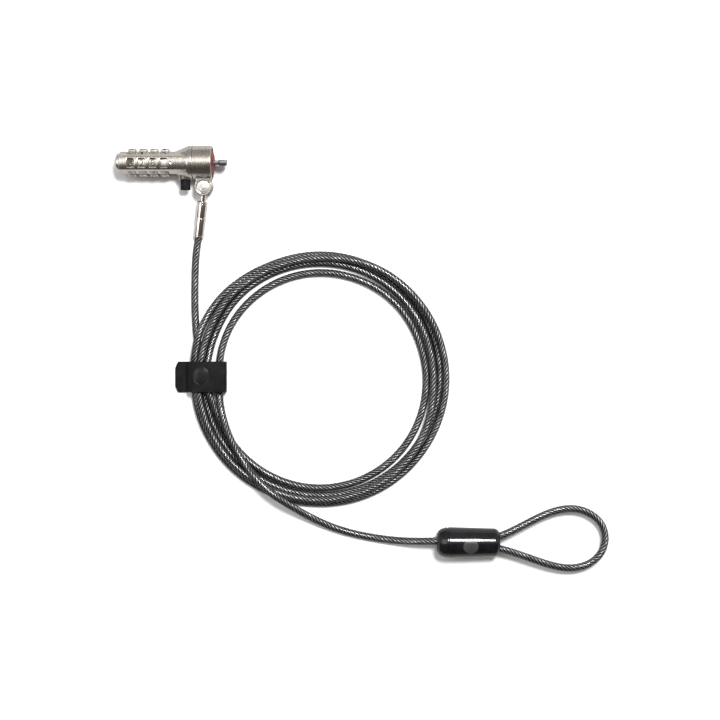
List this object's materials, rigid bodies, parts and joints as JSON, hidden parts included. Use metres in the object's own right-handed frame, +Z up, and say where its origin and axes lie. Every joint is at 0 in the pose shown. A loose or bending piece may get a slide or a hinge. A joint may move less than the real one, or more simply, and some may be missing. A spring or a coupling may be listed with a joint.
{
  "type": "laptop cable lock",
  "caption": "Combination T-bar lock head on a swivel collar, with a coiled jacketed steel cable ending in a sleeved loop.",
  "frame": {"origin": "centre of the collar's front face, on the lock head's axis", "axes": "+X out of the front face towards the device, +Z up off the table the object lies on, +Y away from the cable"},
  "size_m": [0.2443, 0.2105, 0.0168],
  "materials": {
    "satin_nickel": "satin nickel plate on a zinc casting",
    "bright_nickel": "bright nickel plate",
    "dark_steel": "blackened hardened steel",
    "spring_steel": "bare spring steel",
    "brass": "turned brass",
    "black_button": "matte moulded plastic",
    "red_pad": "red moulded pad",
    "black_seal": "black rubber",
    "rope_steel": "twisted steel strands",
    "clear_jacket": "clear smoky PVC",
    "aluminium": "pressed aluminium",
    "gloss_black": "glossy moulded plastic",
    "strap_rubber": "matte moulded rubber"
  },
  "bodies": {
    "cable": {"ferrule": "bright_nickel", "wire_rope": "rope_steel", "cable_jacket": "clear_jacket", "crimp_ferrule": "aluminium", "loop_sleeve": "gloss_black", "strap_band": "strap_rubber", "strap_stud": "strap_rubber"},
    "swivel_eye": {"eye_stem": "bright_nickel"},
    "collar": {"swivel_collar": "satin_nickel", "seal_ring": "black_seal", "neck_pin": "bright_nickel"},
    "head": {"lock_body": "satin_nickel", "rear_plug": "satin_nickel", "detent_spring": "spring_steel", "spindle_spring": "spring_steel", "button_spring": "spring_steel", "retaining_ring": "spring_steel", "guide_plate": "dark_steel", "face_pad": "red_pad"},
    "dial_1_ring": {"dial_1": "satin_nickel"},
    "dial_2_ring": {"dial_2": "satin_nickel"},
    "dial_3_ring": {"dial_3": "satin_nickel"},
    "dial_4_ring": {"dial_4": "satin_nickel"},
    "wheel_1": {"code_wheel_1": "brass"},
    "wheel_2": {"code_wheel_2": "brass"},
    "wheel_3": {"code_wheel_3": "brass"},
    "wheel_4": {"code_wheel_4": "brass"},
    "sleeve": {"wheel_sleeve": "spring_steel"},
    "spindle_rod": {"spindle": "dark_steel"},
    "button": {"push_button": "black_button"},
    "t_bar_shaft": {"t_bar": "dark_steel", "pinion": "dark_steel"},
    "reset": {"reset_knob": "satin_nickel"},
    "flap": {"strap_flap": "strap_rubber"}
  },
  "joints": [
    {"name": "ferrule_swivel", "type": "hinge", "parent": "cable", "child": "swivel_eye", "pos_m": [-0.0044, -0.01177, -0.00178], "axis": [-0.1271, -0.9807, -0.1483], "continuous": true},
    {"name": "neck_fold", "type": "hinge", "parent": "swivel_eye", "child": "collar", "pos_m": [-0.0044, -0.01177, -0.00178], "axis": [0, -0.1495, 0.9888], "range_deg": [-90, 45]},
    {"name": "head_spin", "type": "hinge", "parent": "collar", "child": "head", "pos_m": [0, 0, 0], "axis": [1, 0, 0], "continuous": true},
    {"name": "dial_1_turn", "type": "hinge", "parent": "head", "child": "dial_1_ring", "pos_m": [-0.0393, 0, 0], "axis": [1, 0, 0], "continuous": true},
    {"name": "dial_2_turn", "type": "hinge", "parent": "head", "child": "dial_2_ring", "pos_m": [-0.0339, 0, 0], "axis": [1, 0, 0], "continuous": true},
    {"name": "dial_3_turn", "type": "hinge", "parent": "head", "child": "dial_3_ring", "pos_m": [-0.0285, 0, 0], "axis": [1, 0, 0], "continuous": true},
    {"name": "dial_4_turn", "type": "hinge", "parent": "head", "child": "dial_4_ring", "pos_m": [-0.0231, 0, 0], "axis": [1, 0, 0], "continuous": true},
    {"name": "button_press", "type": "slide", "parent": "head", "child": "button", "axis": [0, 0.9888, 0.1495], "range_m": [0, 0.003], "deforming": ["button_spring"]},
    {"name": "t_bar_turn", "type": "hinge", "parent": "head", "child": "t_bar_shaft", "pos_m": [0, 0, 0], "axis": [1, 0, 0], "range_deg": [-90, 0]},
    {"name": "spindle_slide", "type": "slide", "parent": "head", "child": "spindle_rod", "axis": [-1, 0, 0], "range_m": [0, 0.0015], "deforming": ["spindle_spring"]},
    {"name": "reset_turn", "type": "hinge", "parent": "head", "child": "reset", "pos_m": [-0.045, 0, 0], "axis": [1, 0, 0], "range_deg": [0, 90]},
    {"name": "sleeve_slide", "type": "slide", "parent": "head", "child": "sleeve", "axis": [-1, 0, 0], "range_m": [0, 0.0015]},
    {"name": "wheel_1_shift", "type": "slide", "parent": "dial_1_ring", "child": "wheel_1", "axis": [-1, 0, 0], "range_m": [0, 0.0015]},
    {"name": "wheel_2_shift", "type": "slide", "parent": "dial_2_ring", "child": "wheel_2", "axis": [-1, 0, 0], "range_m": [0, 0.0015]},
    {"name": "wheel_3_shift", "type": "slide", "parent": "dial_3_ring", "child": "wheel_3", "axis": [-1, 0, 0], "range_m": [0, 0.0015]},
    {"name": "wheel_4_shift", "type": "slide", "parent": "dial_4_ring", "child": "wheel_4", "axis": [-1, 0, 0], "range_m": [0, 0.0015]},
    {"name": "strap_open", "type": "hinge", "parent": "cable", "child": "flap", "pos_m": [0.0065, -0.1057, -0.00055], "axis": [0, 1, 0], "range_deg": [0, 110]}
  ],
  "couplings": [
    {"joint": "t_bar_turn", "follows": "button_press", "rad_per_m": -523.59},
    {"joint": "spindle_slide", "follows": "button_press", "ratio": 0.5},
    {"joint": "reset_turn", "follows": "sleeve_slide", "rad_per_m": 1047.2},
    {"joint": "wheel_1_shift", "follows": "sleeve_slide", "ratio": 1},
    {"joint": "wheel_2_shift", "follows": "sleeve_slide", "ratio": 1},
    {"joint": "wheel_3_shift", "follows": "sleeve_slide", "ratio": 1},
    {"joint": "wheel_4_shift", "follows": "sleeve_slide", "ratio": 1}
  ]
}
